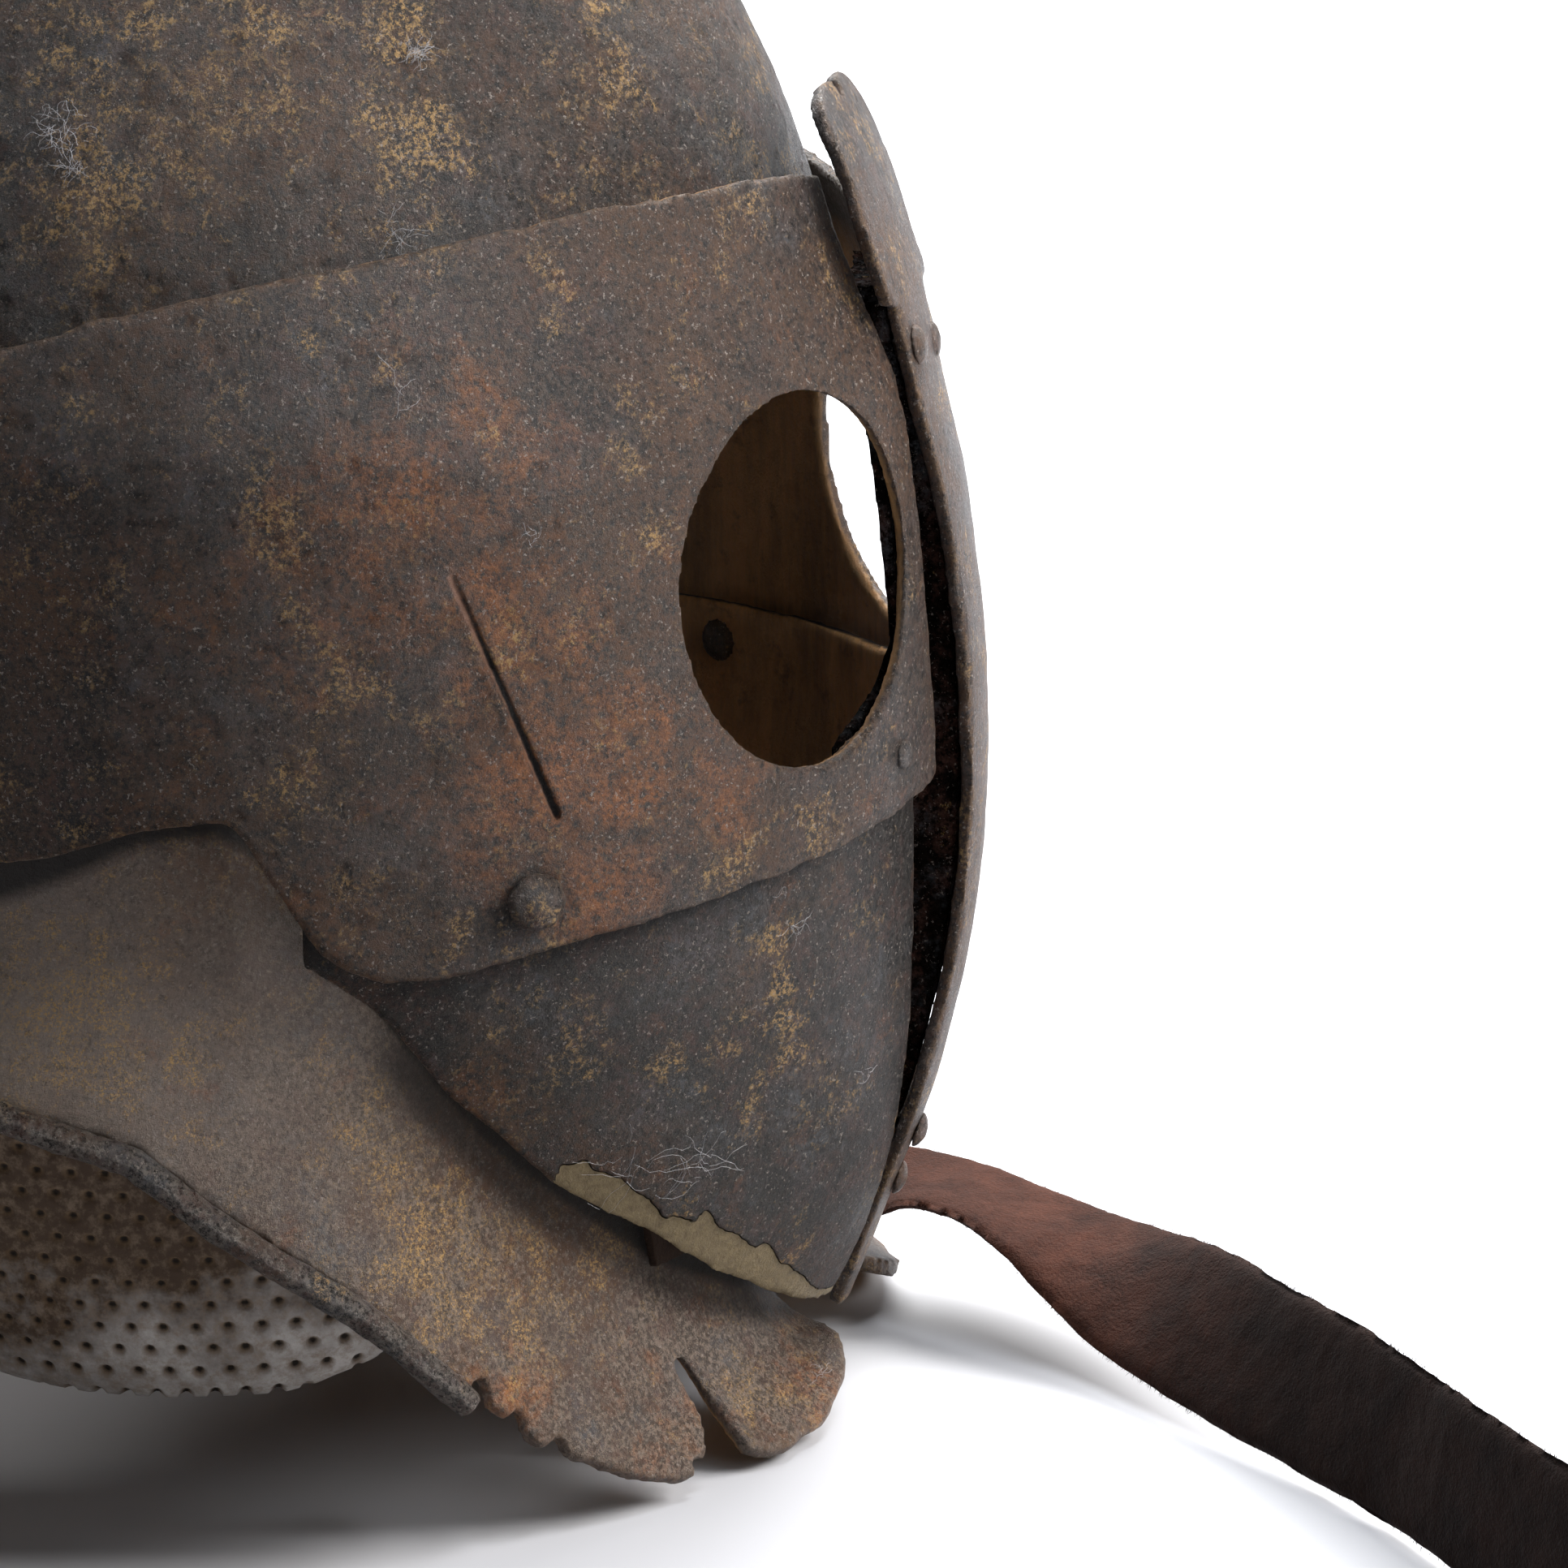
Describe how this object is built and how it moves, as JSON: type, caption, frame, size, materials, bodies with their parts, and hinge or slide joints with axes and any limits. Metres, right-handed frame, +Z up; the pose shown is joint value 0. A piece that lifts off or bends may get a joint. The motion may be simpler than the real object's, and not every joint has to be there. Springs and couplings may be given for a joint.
{
  "type": "knight helmet",
  "caption": "Riveted iron knight's helmet with a lifting face guard on temple bolts, eye holes, a flared open-fronted neck collar, padding and a suede chin strap.",
  "frame": {"origin": "on the floor that the collar stands on, below the centre of the helmet's box without its strap", "axes": "+Z up, -Y the way the helmet faces, -X the wearer's right side"},
  "size_m": [0.2368, 0.3997, 0.298],
  "materials": {
    "skull_iron": "dark, gritty blackened paint with ochre speckle and rust",
    "guard_iron": "blackened and rusted, worn at the edges",
    "strip_iron": "blackened, worn brown and golden along its edges",
    "collar_iron": "smoother grey-brown with golden speckle",
    "rivet_iron": "dark, rusted",
    "pad_white": "off-white padding, stained brown",
    "liner_leather": "brown leather",
    "strap_suede": "rust-brown suede",
    "buckle_brass": "dull brass wire"
  },
  "bodies": {
    "skull": {"skull_shell": "skull_iron", "sweatband": "liner_leather", "crown_liner": "pad_white", "collar": "collar_iron", "rim_bead_left": "collar_iron", "rim_bead_right": "collar_iron", "neck_pad_left": "pad_white", "neck_pad_right": "pad_white", "nape_pad": "pad_white", "collar_rivet_1": "rivet_iron", "collar_rivet_2": "rivet_iron", "collar_rivet_3": "rivet_iron", "collar_rivet_4": "rivet_iron", "collar_rivet_5": "rivet_iron", "temple_bolt_left": "rivet_iron", "temple_bolt_right": "rivet_iron", "temple_spacer_left": "liner_leather", "temple_spacer_right": "liner_leather", "temple_nut_left": "rivet_iron", "temple_nut_right": "rivet_iron", "chin_strap": "strap_suede", "strap_rivet": "rivet_iron", "buckle_tab": "liner_leather", "buckle_frame": "buckle_brass", "buckle_rivet": "rivet_iron"},
    "visor": {"visor_plate_left": "guard_iron", "visor_plate_right": "guard_iron", "chin_plate_left": "guard_iron", "chin_plate_right": "guard_iron", "centre_keel": "strip_iron", "front_strip": "strip_iron", "cheek_rivet_left": "rivet_iron", "cheek_rivet_right": "rivet_iron", "nose_rivet_left": "rivet_iron", "nose_rivet_right": "rivet_iron", "strip_rivet_top_left": "rivet_iron", "strip_rivet_top_right": "rivet_iron", "strip_rivet_low_upper": "rivet_iron", "strip_rivet_low_lower": "rivet_iron"},
    "prong": {"buckle_prong": "buckle_brass"}
  },
  "joints": [
    {"name": "visor_hinge", "type": "hinge", "parent": "skull", "child": "visor", "pos_m": [0, 0.035, 0.173], "axis": [-1, 0, 0], "range_deg": [0, 55]},
    {"name": "prong_hinge", "type": "hinge", "parent": "skull", "child": "prong", "pos_m": [-0.04111, -0.08831, 0.06222], "axis": [0.9058, -0.4238, 0], "range_deg": [0, 35]}
  ]
}
